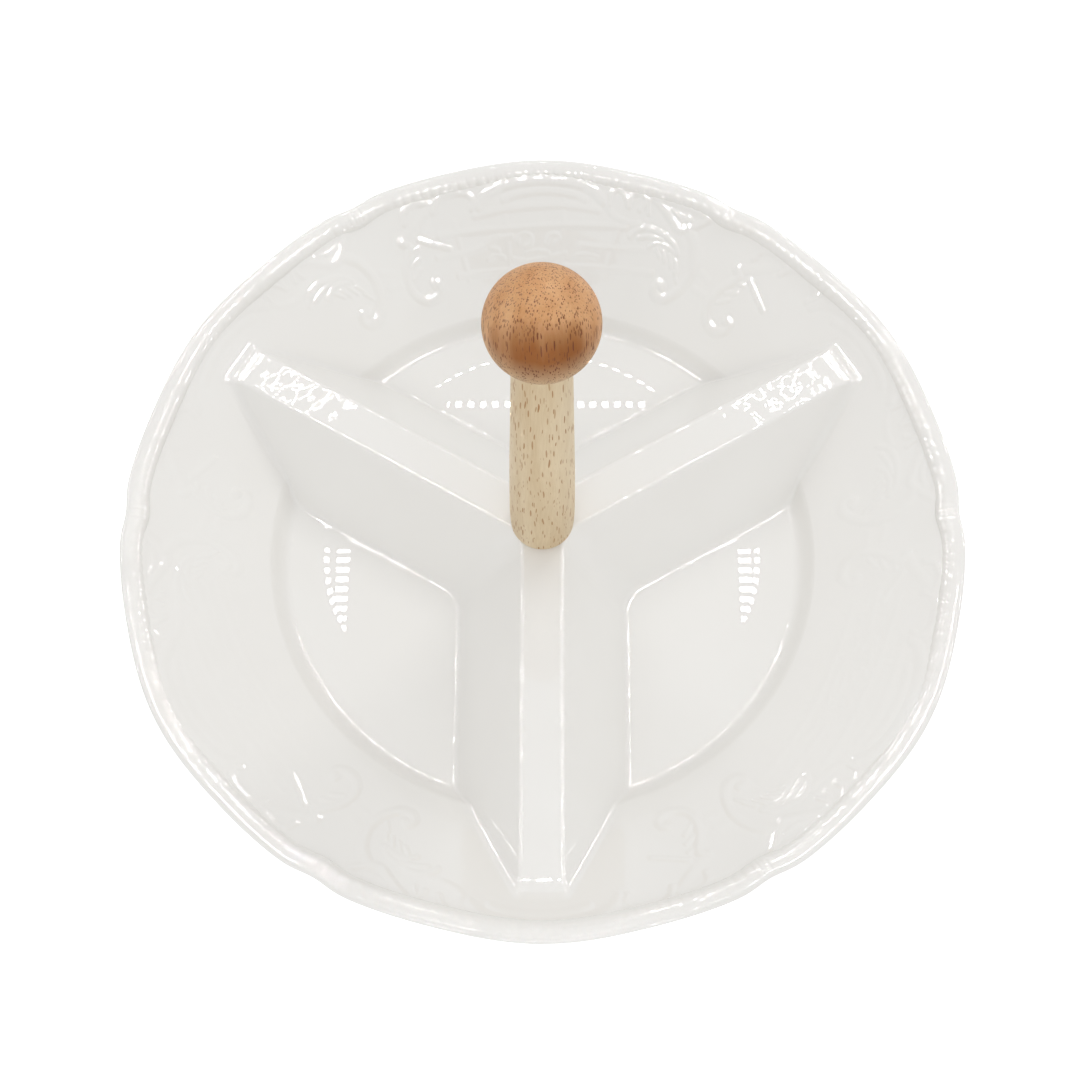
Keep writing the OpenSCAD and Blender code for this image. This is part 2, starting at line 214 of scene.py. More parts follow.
def stamp_piece(heights, a, b, width, height):
    """Raises the map to a rounded ridge from point a to point b."""
    low, high = np.minimum(a, b) - width, np.maximum(a, b) + width
    i0, i1 = np.searchsorted(map_x, (low[0], high[0]))
    j0, j1 = np.searchsorted(map_r, (low[1], high[1]))
    if i0 == i1 or j0 == j1:
        return
    gx, gr = np.meshgrid(map_x[i0:i1], map_r[j0:j1])
    d = b - a
    t = np.clip(((gx - a[0]) * d[0] + (gr - a[1]) * d[1]) / max(d @ d, 1e-9), 0, 1)
    away = np.hypot(gx - a[0] - t * d[0], gr - a[1] - t * d[1])
    ridge = height * np.clip(1 - (away / (STROKE_REACH * width)) ** 2, 0, 1) ** 1.5
    part = heights[j0:j1, i0:i1]
    np.maximum(part, ridge, out=part)


def stamp(strokes):
    """A height map of one lobe with every stroke, softened a little."""
    heights = np.zeros((len(map_r), len(map_x)))
    for width, height, points in strokes:
        line = smooth_line(points)
        for shift in (0, -LOBE_LENGTH, LOBE_LENGTH):
            for a, b in zip(line, line[1:]):
                stamp_piece(heights, a + [shift, 0], b + [shift, 0], width, height)
    for _ in range(SOFTEN_ROUNDS):
        for axis in (0, 1):
            heights = (np.roll(heights, 1, axis) + 2 * heights + np.roll(heights, -1, axis)) / 4
    return heights


def relief(r, turn):
    """Height of the relief at a radius and an angle, between the four nearest points of the map."""
    lobe = np.round((turn - 30) / 60).astype(int)
    offset = turn - 30 - 60 * lobe
    x = (-np.radians(offset) * LOBE_ARC_R - MAP_X0) / MAP_STEP
    y = (np.clip(r, MAP_R0, MAP_R1 - 1) - MAP_R0) / MAP_STEP
    i, j = np.floor(x).astype(int), np.floor(y).astype(int)
    fx, fy = x - i, y - j
    out = np.zeros_like(r)
    for odd, heights in ((0, plain_map), (1, lattice_map)):
        here = lobe % 2 == odd
        a, b, p, q = j[here], i[here], fx[here], fy[here]
        low = heights[a, b] * (1 - p) + heights[a, b + 1] * p
        high = heights[a + 1, b] * (1 - p) + heights[a + 1, b + 1] * p
        out[here] = low * (1 - q) + high * q
    return out * (r > MAP_R0)


plain_map = stamp(LOBE_STROKES)
lattice_map = stamp(LOBE_STROKES + [(w, LATTICE_SHARE * h, points) for w, h, points in LATTICE_STROKES])
print("relief map:", plain_map.shape, "points, up to", round(RELIEF_SHARE * plain_map.max(), 2), "mm")

# %% [markdown]
# ## The inside as a height
# The floor, the steep step, the flared wall, the three ridges and the hub are joined by soft corners of the
# radii that the photograph shows. Where two ridges meet at the hub the corner is much rounder.

# %% Height of the inside
END_CORNER, HUB_CORNER, TOP_CORNER = 1.1, 6.6, 0.86
STEP_CORNER, FLOOR_CORNER, ROOT_CORNER = 0.5, 2.6, 1.44
ROOT_EXTRA, ROOT_FROM, ROOT_RUN = 1.4, 84, 8  # a ridge's foot is rounder on the wall
WAVES_FROM, WAVES_RUN, RELIEF_CLEAR = 52, 36, 3
END_FROM, NOWHERE = 90, -1e3


def ramp(value, start, length):
    """0 up to start, 1 from start + length on."""
    return np.clip((value - start) / length, 0, 1)


def ridge_frame(x, y, turn):
    """Distances along a ridge's axis and away from it."""
    c, s = math.cos(math.radians(turn)), math.sin(math.radians(turn))
    return x * c + y * s, np.abs(y * c - x * s)


def flank_at(across):
    return RIDGE_Z - (across - RIDGE_TOP) * FLANK


def wall_at(r):
    return FLOOR_Z + STEP_H + (r - STEP_R) * WALL_SLOPE


def ridge_sides(x, y):
    """The ridge flanks at each point, the highest first, as planes that go on upwards."""
    sides = []
    for turn in RIDGE_TURNS:
        along, across = ridge_frame(x, y, turn)
        flank = flank_at(across)
        end = soft_min(flank, RIDGE_Z - (along - RIDGE_END) * END_SLOPE, END_CORNER)
        sides.append(np.where(along > 0, np.where(along > END_FROM, end, flank), NOWHERE))
    return np.sort(np.stack(sides), axis=0)[::-1]


def uneven(x, y):
    """Slow waves that the firing leaves in a wide flat top."""
    slow = 0.035 * np.sin(0.62 * x + 0.9) * np.sin(0.71 * y + 0.4)
    return slow + 0.012 * np.sin(1.35 * x - 0.5 * y) * np.sin(1.1 * y + 0.8)


def inside(x, y):
    """Height of the bowl's inside, with relief on the bare wall and waves on the ridges' outer tops."""
    r, turn = polar(x, y)
    first, second, _ = ridge_sides(x, y)
    ridges = soft_min(soft_max(first, second, HUB_CORNER), RIDGE_Z + 0 * r, TOP_CORNER)
    wall = wall_at(r)
    step = FLOOR_Z + (r - STEP_R + STEP_W) * STEP_H / STEP_W
    margin = np.clip((r - MARGIN_R) / (STEP_R - STEP_W - MARGIN_R), 0, 1.2)
    shell = soft_max(soft_min(step, wall, STEP_CORNER), FLOOR_Z + MARGIN_RISE * margin ** 2, FLOOR_CORNER)
    rest = soft_max(ridges, shell, ROOT_CORNER + ROOT_EXTRA * ramp(r, ROOT_FROM, ROOT_RUN))
    on_wall = ramp(wall - ridges, 0, RELIEF_CLEAR)
    on_top = ramp(ridges - RIDGE_Z, -0.25, 0.25) * ramp(ridges - wall, 0.8, 2)
    waves = uneven(x, y) * on_top * ramp(r, WAVES_FROM, WAVES_RUN)
    return rest + RELIEF_SHARE * relief(r, turn) * on_wall + waves


probe = inside(np.array([0.0, 60.0]), np.array([60.0, 35.0]))
print("floor and ridge height, mm:", probe.round(2))

# %% [markdown]
# ## The inside as a mesh
# A flat grid is added, its columns are laid round the axis and its rows from the hub outwards, as a potter
# works from the middle. Then each point is lifted to its height, as with a sculpting brush.

# %% Grid helpers
CLOSE = 1e-6


def points_of(obj):
    co = np.empty(len(obj.data.vertices) * 3)
    obj.data.vertices.foreach_get("co", co)
    return co.reshape(-1, 3)


def new_grid(name, rows, columns):
    """A flat grid, with the row and the column of each of its points."""
    bpy.ops.object.select_all(action="DESELECT")
    bpy.ops.mesh.primitive_grid_add(x_subdivisions=columns - 1, y_subdivisions=rows - 1, size=1)
    obj = bpy.context.object
    obj.name = obj.data.name = name
    flat = points_of(obj)
    i = np.rint((flat[:, 0] + 0.5) * (columns - 1)).astype(int)
    j = np.rint((flat[:, 1] + 0.5) * (rows - 1)).astype(int)
    return obj, j, i


def lay_points(obj, r, a, z):
    """Puts each point at a radius, an angle in radians and a height."""
    obj.data.vertices.foreach_set("co", (np.stack([r * np.cos(a), r * np.sin(a), z], axis=1) * MM).ravel())


def edit_faces(merge=0.0, flip=False, outward=False):
    """On the active mesh: merges points that are closer than merge, and turns its faces over or outwards."""
    bpy.ops.object.mode_set(mode="EDIT")
    bpy.ops.mesh.select_all(action="SELECT")
    if merge:
        bpy.ops.mesh.remove_doubles(threshold=merge)
    if flip:
        bpy.ops.mesh.flip_normals()
    if outward:
        bpy.ops.mesh.normals_make_consistent(inside=False)
    bpy.ops.object.mode_set(mode="OBJECT")


# %% [markdown]
# A sheet is such a grid, laid out and lifted. Its normals are worked out from the height itself and not from
# its faces, so that the mirror images in the glaze run smoothly over it and on to the next sheet.

# %% Sheets
NORMAL_STEP = 0.06


def set_normals(obj, height, upward):
    """Normals from the slope of the height itself, so that neighbouring sheets meet without a seam."""
    x, y = points_of(obj)[:, 0] / MM, points_of(obj)[:, 1] / MM
    e = NORMAL_STEP
    sx = (height(x + e, y) - height(x - e, y)) / (2 * e)
    sy = (height(x, y + e) - height(x, y - e)) / (2 * e)
    normal = np.stack([-sx, -sy, np.ones_like(sx)], axis=1)
    normal /= np.linalg.norm(normal, axis=1)[:, None]
    obj.data.normals_split_custom_set_from_vertices(normal if upward else -normal)


def sheet(name, radii, turns, closed, height, upward=True):
    """A sheet over rows of radii and columns of angles in degrees, lifted to height(x, y)."""
    obj, j, i = new_grid(name, *turns.shape)
    r, a = radii[j, i] if radii.ndim == 2 else radii[j], np.radians(turns[j, i])
    lay_points(obj, r, a, height(r * np.cos(a), r * np.sin(a)))
    edit_faces(merge=CLOSE if closed else 0, flip=upward)
    bpy.ops.object.shade_smooth()
    set_normals(obj, height, upward)
    print(name, "points:", len(obj.data.vertices), "faces:", len(obj.data.polygons))
    return obj


# %% [markdown]
# The floor, ridges and hub are one sheet from the screw hole to the edge of the step. Its columns are the same
# for every third of the bowl: lines along the ridge, close together at its rounded edges so that they stay
# clean, then even angles.

# %% Floor, ridges and hub
def spans(start, *stops):
    """Points from start to each stop, which is a place and the number of points up to it."""
    out = []
    for stop, count in stops:
        out.append(np.linspace(start, stop, count)[:-1])
        start = stop
    return np.append(np.concatenate(out), start)


RIDGE_LINES = spans(0, (4.4, 5), (7.6, 14), (23.6, 19), (30, 13))
FLOOR_COLUMNS = 22
OPEN_R = 48.0


def third_turns(radius, lines, evens):
    """Angles from one ridge's axis over the middle of a compartment to the next ridge's axis."""
    near = np.degrees(np.arcsin(lines * min(1, radius / OPEN_R) / radius))
    half = np.concatenate([near, np.linspace(near[-1], 60, evens + 1)[1:]])
    return np.concatenate([half, 120 - half[-2::-1]])


def ring_turns(radius, lines, evens):
    third = third_turns(radius, lines, evens)
    return np.concatenate([30 + third[:-1], 150 + third[:-1], 270 + third])


floor_radii = spans(BORE_R, (9, 5), (44, 74), (74, 22), (STEP_R, 30))
floor_turns = np.array([ring_turns(r, RIDGE_LINES, FLOOR_COLUMNS) for r in floor_radii])
bowl_floor = sheet("bowl_floor_and_ridges", floor_radii, floor_turns, True, inside)

# %% [markdown]
# The flared wall carries the relief, so its grid is much finer. It is made in three parts, one over each
# compartment, which keeps each mesh light. They meet behind the ridges.

# %% Flared wall
WALL_LINES = np.linspace(0, 30, 67)
WALL_COLUMNS, WALL_ROWS = 190, 92
share = np.linspace(0, 1, WALL_ROWS)
wall_parts = []
middle = STEP_R + share * (RIM_R - BAND_INSET - STEP_R)
for word, start in (("back", 30), ("left", 150), ("right", 270)):
    turns = np.array([start + third_turns(r, WALL_LINES, WALL_COLUMNS) for r in middle])
    radii = STEP_R + share[:, None] * (rim_at(turns) - BAND_INSET - STEP_R)
    wall_parts.append(sheet("bowl_wall_" + word, radii, turns, False, inside))

# %% [markdown]
# ## The rim's band
# The band is thickest at its crown and rolls over to the underside. Its inner edge is crimped: forty small
# radial dents in each lobe, which fade out towards the crown. One section of the band is swept round the lobed
# outline: the grid's rows are the section's points and its columns go round the rim.

# %% Rim band
DENTS_PER_LOBE, COLUMNS_PER_DENT = 40, 10
DENT_OUT, DENT_DOWN = 0.09, 0.06
FLUTE_DEPTH, FLUTE_TURN, FLUTE_WIDTH = 0.2, 0.62, 0.22
band_section = smooth_line([  # inward from the rim, and height
    (6.6, 35.6), (6.5, 36.9), (6.1, 37.8), (5.6, 38.5), (5, 39.05), (4.2, 39.5), (3.2, 39.82), (2, 40),
    (1.1, 39.86), (0.45, 39.45), (0.08, 38.95), (0, 38.4), (0.1, 37.8), (0.42, 37.1), (1.2, 36.2),
    (2.2, 35.6), (3.2, 35.4), (3.8, 35.7), (4.4, 36.6)], 2)
band_turns = np.linspace(0, 360, 6 * DENTS_PER_LOBE * COLUMNS_PER_DENT + 1)


def crimp(turn):
    """From 0 between two dents to 1 in a dent's middle."""
    return (0.5 + 0.5 * np.cos(np.radians(turn * 6 * DENTS_PER_LOBE))) ** 1.6


def band_place(inward, z, turn):
    """Radius and height of a section point at an angle, with the dents and the two flutes of each notch."""
    dent = crimp(turn) * ramp(inward, 2.6, 2.4) * (z > 37)
    flute = np.exp(-((from_notch(turn) - FLUTE_TURN) / FLUTE_WIDTH) ** 2) * ramp(inward, 0.6, 2) * (z > 38)
    return rim_at(turn) - inward + DENT_OUT * dent, z - DENT_DOWN * dent - FLUTE_DEPTH * flute


bowl_band, row, column = new_grid("bowl_rim_band", len(band_section), len(band_turns))
band_r, band_z = band_place(*band_section[row].T, band_turns[column])
lay_points(bowl_band, band_r, np.radians(band_turns[column]), band_z)
edit_faces(merge=CLOSE, flip=True)
bpy.ops.object.shade_smooth()
print("rim band faces:", len(bowl_band.data.polygons))

# %% [markdown]
# ## The underside
# From beneath, the bowl shows the back of its flared wall, a foot ring, the hollows under the ridges and the
# flat seat of the washers round the screw hole. It is a landscape too, seen from below. Its outer edge is
# tucked into the band.

# %% Underside
FOOT_PROFILE = ([75.15, 76.15, 76.6, 79.1, 79.55, 80.1], [FOOT_Z, 0.6, 0, 0, 0.6, FOOT_Z])
HOLLOW_R, UNDER_R, TAPER_R, LIP_R, LIP_Z = 74.35, 83.5, 116.76, 121.76, 36.74
TUCK_Z, TUCK_INSET, TUCK_W = 36.2, 3.7, 1.4
FOOT_SLOPE, STEEP, EDGE = 1.7, 60, 0.25


def back_of_wall(r):
    return wall_at(r) - WALL_T * math.hypot(1, WALL_SLOPE)


def hollows(x, y):
    """The hollows under the three ridges, as roofs that are nowhere beside the ridges."""
    roof = NOWHERE + 0 * x
    for turn in RIDGE_TURNS:
        along, across = ridge_frame(x, y, turn)
        flank = flank_at(across) - RIDGE_T * math.hypot(1, FLANK)
        one = soft_min(flank, RIDGE_Z - RIDGE_T + 0 * x, 0.8)
        roof = np.maximum(roof, np.where(along > 0, one, NOWHERE))
    return roof


def underside(x, y):
    r, turn = polar(x, y)
    low = back_of_wall(TAPER_R)
    wall = np.where(r > TAPER_R, low + (r - TAPER_R) * (LIP_Z - low) / (LIP_R - TAPER_R), back_of_wall(r))
    wall = wall + ramp(r - rim_at(turn), -BAND_INSET, TUCK_W) * np.maximum(TUCK_Z - wall, 0)
    back = np.where(r > UNDER_R - 2, soft_min(wall, FOOT_Z + (r - UNDER_R) * FOOT_SLOPE, 0.6), FOOT_Z)
    back = np.where(r < UNDER_R, np.interp(r, *FOOT_PROFILE), back)
    hollow = np.minimum(np.maximum(hollows(x, y), FOOT_Z), FOOT_Z + (HOLLOW_R + EDGE - r) * STEEP)
    level = np.maximum(hollow, back)
    pocket = np.clip(FOOT_Z + (POCKET_R + EDGE - r) * STEEP, FOOT_Z, HUB_SEAT_Z)
    deep = np.minimum(level, HUB_SEAT_Z + (r > POCKET_R) * 9)
    return np.where(r < POCKET_R + 0.3, np.maximum(pocket, deep), level)


UNDER_RUNS = [  # first radius, last radius and number of rows
    (BORE_R, POCKET_R - 0.2, 8), (POCKET_R - 0.15, POCKET_R + 0.35, 6), (POCKET_R + 0.8, 74.0, 66),
    (74.25, 75.15, 10), (75.4, 80.2, 30), (80.5, 84.5, 14), (85, RIM_R - 5.6, 20),
    (RIM_R - BAND_INSET, RIM_R - TUCK_INSET, 5)]
under_rows = np.concatenate([np.linspace(*run) for run in UNDER_RUNS])[:, None]
under_turns = np.tile(np.linspace(0, 360, 601), (len(under_rows), 1))
under_radii = under_rows + (rim_at(under_turns) - RIM_R) * ramp(under_rows, 100, 20)
bowl_under = sheet("bowl_underside", under_radii, under_turns, True, underside, upward=False)

# %% [markdown]
# The screw hole goes straight through the hub, from the seat to the top.

# %% Screw hole, and the bowl's place in the model
bpy.ops.object.select_all(action="DESELECT")
bpy.ops.mesh.primitive_cylinder_add(
    vertices=64, radius=BORE_R * MM, depth=(RIDGE_Z - HUB_SEAT_Z) * MM, end_fill_type="NOTHING",
    location=(0, 0, (RIDGE_Z + HUB_SEAT_Z) / 2 * MM))
bowl_bore = bpy.context.object
bowl_bore.name = bowl_bore.data.name = "bowl_screw_hole"
bpy.ops.object.transform_apply(location=True, rotation=True, scale=True)
edit_faces(flip=True)
bpy.ops.object.shade_smooth()

bowl_pieces = [bowl_floor, *wall_parts, bowl_band, bowl_under, bowl_bore]
for piece in bowl_pieces:
    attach(piece, "dish")
    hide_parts("bowl")
print("bowl faces:", sum(len(piece.data.polygons) for piece in bowl_pieces))

# %% [markdown]
# ## Shader helper
# A small class wraps a socket, so that a finish can be written as sums and products.

# %% Shader maths
class Finish:
    """The nodes of a new material, or of the world."""

    def __init__(self, owner, empty=False):
        self.owner = bpy.data.materials.new(owner) if isinstance(owner, str) else owner
        self.owner.use_nodes = True
        self.tree = self.owner.node_tree
        if empty:
            self.tree.nodes.clear()

    def node(self, kind, settings=None, **sockets):
        """One node: its settings first, then the values or links of its sockets (i0, i1 or by name)."""
        made = self.tree.nodes.new(kind)
        for key, value in (settings or {}).items():
            setattr(made, key, value)
        for key, value in sockets.items():
            number = key[0] == "i" and key[1:].isdigit()
            self.feed(made.inputs[int(key[1:]) if number else key.replace("_", " ")], value)
        return made

    def feed(self, socket, value):
        if isinstance(value, Wire):
            self.tree.links.new(value.socket, socket)
        elif isinstance(value, bpy.types.NodeSocket):
            self.tree.links.new(value, socket)
        else:
            socket.default_value = value

    def set(self, **sockets):
        """Values or links of the principled shader."""
        for key, value in sockets.items():
            self.feed(self.tree.nodes["Principled BSDF"].inputs[key.replace("_", " ")], value)

    def wire(self, node, output=0):
        return Wire(self, node.outputs[output])

    def place(self):
        return self.node("ShaderNodeTexCoord").outputs["Object"]

    def mapped(self, place, **settings):
        return self.node("ShaderNodeMapping", Vector=place, **settings).outputs[0]

    def vector(self, operation, first, second):
        return self.node("ShaderNodeVectorMath", {"operation": operation}, i0=first, i1=second)

    def noise(self, place, scale, detail):
        return self.wire(self.node("ShaderNodeTexNoise", Vector=place, Scale=scale, Detail=detail))

    def blend(self, factor, low, high):
        """A mix of two colours, each a tuple or a socket."""
        made = self.node("ShaderNodeMix", {"data_type": "RGBA"}, Factor=factor)
        for socket, colour in ((made.inputs[6], low), (made.inputs[7], high)):
            self.feed(socket, (*colour, 1) if isinstance(colour, tuple) else colour)
        return made.outputs[2]

    def either(self, factor, first, second):
        """The first shader where the factor is 0 and the second where it is 1."""
        return self.node("ShaderNodeMixShader", i0=factor, i1=first, i2=second).outputs[0]


class Wire:
    """A number that flows between nodes."""

    def __init__(self, finish, socket):
        self.finish, self.socket = finish, socket

    def math(self, operation, other):
        return self.finish.wire(self.finish.node("ShaderNodeMath", {"operation": operation}, i0=self, i1=other))

    def __add__(self, other): return self.math("ADD", other)
    def __sub__(self, other): return self.math("SUBTRACT", other)
    def __mul__(self, other): return self.math("MULTIPLY", other)

    def span(self, low, high):
        """0 up to low and 1 from high on."""
        return ((self - low) * (1 / (high - low))).math("MAXIMUM", 0.0).math("MINIMUM", 1.0)


def dress(obj, finish):
    obj.data.materials.clear()
    obj.data.materials.append(finish.owner)


# %% [markdown]
# ## Porcelain
# White hard porcelain under a clear glaze. The body is nearly white with a trace of warmth, the glaze mirrors
# the room sharply, and it pools a little, which shows as very slow waves in the reflections.

# %% Porcelain glaze
porcelain = Finish("porcelain_glaze")
place = porcelain.place()
slow = porcelain.noise(place, 28.0, 2.0)
fine = porcelain.noise(place, 900.0, 3.0)
tint = porcelain.blend(slow.span(0.35, 0.65), (0.862, 0.85, 0.822), (0.874, 0.864, 0.838))
waves = porcelain.node("ShaderNodeBump", Strength=0.1, Distance=0.0006, Height=slow)
porcelain.set(
    Base_Color=tint, Roughness=fine * 0.06 + 0.3, IOR=1.5, Specular_IOR_Level=0.0, Coat_Weight=1.0,
    Coat_IOR=1.52, Coat_Roughness=0.008, Normal=waves.outputs[0])
for piece in bowl_pieces:
    dress(piece, porcelain)
print("glazed pieces:", len(bowl_pieces))

# %% [markdown]
# ## Turned pieces
# The stem, the ball and the washers are bodies of revolution, as a lathe makes them. A grid is added, its rows
# follow the section from one end to the other, and its columns go once round. Points on the axis are merged, so
# that the ends are closed.

# %% Lathe
def turned_piece(name, section, columns=128, thread=None):
    """A section of (radius, height), turned round the axis; thread(radius, height, angle) may move a point."""
    section = np.array(section, float)
    obj, j, i = new_grid(name, len(section), columns + 1)
    a = i * 2 * math.pi / columns
    r, z = section[j, 0], section[j, 1]
    if thread:
        r = thread(r, z, a)
    lay_points(obj, r, a, z)
    edit_faces(merge=2 * CLOSE, outward=True)
    bpy.ops.object.shade_smooth_by_angle(angle=math.radians(35))
    print(name, "faces:", len(obj.data.polygons))
    return obj


def corner(centre, radius, start, end, steps=6):
    """Points on a rounded corner, by angles in degrees."""
    turns = np.radians(np.linspace(start, end, steps + 1))
    return [(centre[0] + radius * math.cos(t), centre[1] + radius * math.sin(t)) for t in turns]


# %% [markdown]
# ## Stem
# The stem is a spindle with a slight belly near its foot. Its lower edge is rounded. Inside are the holes for
# the brass insert and the dowel, so the section goes down the outside and up through the holes.

# %% Stem
STEM_Z, STEM_TOP_Z, FOOT_D, BELLY_D, TOP_D = RIDGE_Z, 137.116, 18.8, 19.2, 14.8
INSERT_R, INSERT_H, SCREW_HOLE_R, SCREW_HOLE_H = 4.0, 13.5, 3.0, 17
DOWEL_R, DOWEL_H, STEM_EDGE = 3.0, 10.5, 1.2
stem_run = STEM_TOP_Z - STEM_Z
profile = smooth_line([
    (FOOT_D / 2, STEM_Z + STEM_EDGE), (BELLY_D / 2, STEM_Z + 0.1 * stem_run), (9.15, STEM_Z + 0.36 * stem_run),
    (8.18, STEM_Z + 0.72 * stem_run), (TOP_D / 2, STEM_TOP_Z)], 12)
stem = turned_piece("handle_stem_turned", [
    (0, STEM_Z + SCREW_HOLE_H), (SCREW_HOLE_R, STEM_Z + SCREW_HOLE_H), (SCREW_HOLE_R, STEM_Z + INSERT_H),
    (INSERT_R, STEM_Z + INSERT_H), (INSERT_R, STEM_Z),
    *corner((FOOT_D / 2 - STEM_EDGE, STEM_Z + STEM_EDGE), STEM_EDGE, -90, 0), *profile[1:],
    (DOWEL_R, STEM_TOP_Z), (DOWEL_R, STEM_TOP_Z - DOWEL_H), (0, STEM_TOP_Z - DOWEL_H)])

# %% [markdown]
# ## Ball
# The ball sits on the stem with a small flat and has a blind hole for the dowel.

# %% Ball
BALL_Z, BALL_R = 149.0, 14.0
flat_angle = math.degrees(math.asin((STEM_TOP_Z - BALL_Z) / BALL_R))
ball = turned_piece("handle_ball_turned", [
    (0, STEM_TOP_Z + DOWEL_H), (DOWEL_R, STEM_TOP_Z + DOWEL_H), (DOWEL_R, STEM_TOP_Z),
    *corner((0, BALL_Z), BALL_R, flat_angle, 90, 64)])
for piece, node in ((stem, "handle_stem"), (ball, "handle_ball")):
    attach(piece, "dish")
    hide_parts(node)

# %% [markdown]
# ## Wood
# Both woods have open pores: short dark tubes that run up along the grain. A cell pattern is squeezed across
# the grain and stretched along it, and only the middle of each cell is dark. Where the surface runs along the
# grain the pores show as dashes, and on the ball's top, where it cuts them, as dots. Slow noise gives the grain
# its lighter and darker bands. On the ball a darker patch low on its front is painted shade, and it gets paler
# towards the bottom.

# %% Wood finish
LEAN, BEND_SCALE, WANDER = 0.35, 60.0, (0.0022, 0.0022, 0.0)  # how the grain strays
BANDS_SCALE, FIBRE_SCALE = (170.0, 170.0, 16.0), (2600.0, 2600.0, 120.0)  # per metre


def painted_shade_patch(finish, place, ground, bands, middle, radius, aim, dark, pale):
    """Painted shade: a darker patch on the side that aim points to, and paler towards the bottom."""
    out = finish.vector("SUBTRACT", place, middle).outputs[0]
    toward = finish.wire(finish.vector("DOT_PRODUCT", out, aim), 1)
    parts = finish.node("ShaderNodeSeparateXYZ", i0=out)
    side = finish.wire(parts, 0) * (1 / radius)
    patch = (toward * (1 / radius) + side * side * 0.45 + bands * 0.3).span(0.9, 1.14)
    low = (finish.wire(parts, 2) * (-1 / radius) + bands * 0.3).span(-0.2, 0.4)
    return finish.blend(low * 0.8, finish.blend(patch * 0.95, ground, dark), pale)


def wood(name, light, dark, pore, across, along, pore_size, pore_share, roughness, tilt=0.0, shade_patch=None):
    """Colours, cells per metre across and along the grain, pore radius as a share of a cell, share with one."""
    finish = Finish(name)
    place = finish.place()
    leant = finish.mapped(place, Rotation=(tilt, 0.0, LEAN))
    bent = finish.node("ShaderNodeTexNoise", Vector=leant, Scale=BEND_SCALE, Detail=2.0).outputs["Color"]
    shift = finish.vector("SUBTRACT", bent, (0.5, 0.5, 0.5)).outputs[0]
    wander = finish.vector("MULTIPLY", shift, WANDER).outputs[0]
    grain = finish.vector("ADD", leant, wander).outputs[0]
    bands = finish.noise(finish.mapped(grain, Scale=BANDS_SCALE), 1.0, 3.0)
    fibre = finish.noise(finish.mapped(grain, Scale=FIBRE_SCALE), 1.0, 2.0)
    pores = finish.mapped(grain, Scale=(across, across, along))
    cells = finish.node("ShaderNodeTexVoronoi", {"feature": "F1"}, Vector=pores, Scale=1.0)
    kind = finish.node("ShaderNodeSeparateColor", i0=cells.outputs["Color"])
    size = finish.wire(kind, 0).span(1 - pore_share, 1.0) * pore_size
    depth = (size - finish.wire(cells, 0)).span(0.0, 0.05) * (finish.wire(kind, 1) * 0.5 + 0.5)
    ground = finish.blend((bands * 0.8 + fibre * 0.35).span(0.38, 0.78), light, dark)
    # Painted shade on the ball: a darker patch low on its front, and paler towards its bottom.
    if shade_patch:
        ground = painted_shade_patch(finish, place, ground, bands, *shade_patch)
    skin = finish.node("ShaderNodeBump", Strength=0.25, Distance=0.0002, Height=fibre * 0.15 - depth)
    finish.set(
        Base_Color=finish.blend(depth, ground, pore), Roughness=depth * 0.12 + (fibre * 0.06 + roughness),
        IOR=1.45, Specular_IOR_Level=0.4, Normal=skin.outputs[0])
    return finish


stem_wood = wood(
    "stem_wood", (0.77, 0.64, 0.44), (0.62, 0.47, 0.28), (0.4, 0.2, 0.075), across=1700.0, along=170.0,
    pore_size=0.45, pore_share=0.95, roughness=0.42)
# The ball's darker patch low on its front is painted shade, and the wood gets paler towards the bottom.
ball_wood = wood(
    "ball_wood", (0.66, 0.385, 0.195), (0.5, 0.235, 0.08), (0.13, 0.035, 0.012), across=2500.0, along=330.0,
    pore_size=0.56, pore_share=1.0, roughness=0.48, tilt=0.6,
    shade_patch=((0, 0, BALL_Z * MM), 0.014, (0, -0.923, 0.384), (0.25, 0.075, 0.006), (0.5, 0.34, 0.19)))
dowel_wood = wood(
    "dowel_wood", (0.7, 0.52, 0.3), (0.58, 0.4, 0.2), (0.35, 0.17, 0.06), across=1500.0, along=90.0,
    pore_size=0.25, pore_share=0.7, roughness=0.6)
dress(stem, stem_wood)
dress(ball, ball_wood)
dress(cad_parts["ball_dowel"], dowel_wood)
print("nodes in the ball's wood:", len(ball_wood.tree.nodes))

# %% [markdown]
# ## Screw and washers
# Under the hub a socket screw draws the handle down. Its shank carries the real thread, which a lathe cuts as
# one long groove: at each point the groove's depth depends on the height and the angle together. The socket in
# its head is cut out with a six-sided tool.

# %% Clamp screw
WASHER_Z, CUSHION_Z, WASHER_R = 23.4, 24.6, 7.5
SCREW_R, SCREW_L, PITCH, GROOVE, HEAD_R, HEAD_H, HEAD_EDGE = 2.5, 20.0, 0.8, 0.42, 4.8, 3.4, 0.9
SOCKET_W, SOCKET_DEPTH = 3.0, 2.0
shank_z = WASHER_Z + np.arange(1.2, SCREW_L - 0.5, PITCH / 8)


def groove(r, z, a):
    """The thread's groove, which fades out at both ends."""
    phase = ((z - WASHER_Z) / PITCH - a / (2 * math.pi)) % 1.0
    depth = GROOVE * np.clip(1 - np.abs(phase - 0.5) * 2.4, 0, 1)
    ends = ramp(z - WASHER_Z, 1.2, 0.8) * np.clip((WASHER_Z + SCREW_L - 0.3 - z) / 0.6, 0, 1)
    return np.where(r > SCREW_R - 0.01, r - depth * ends, r)


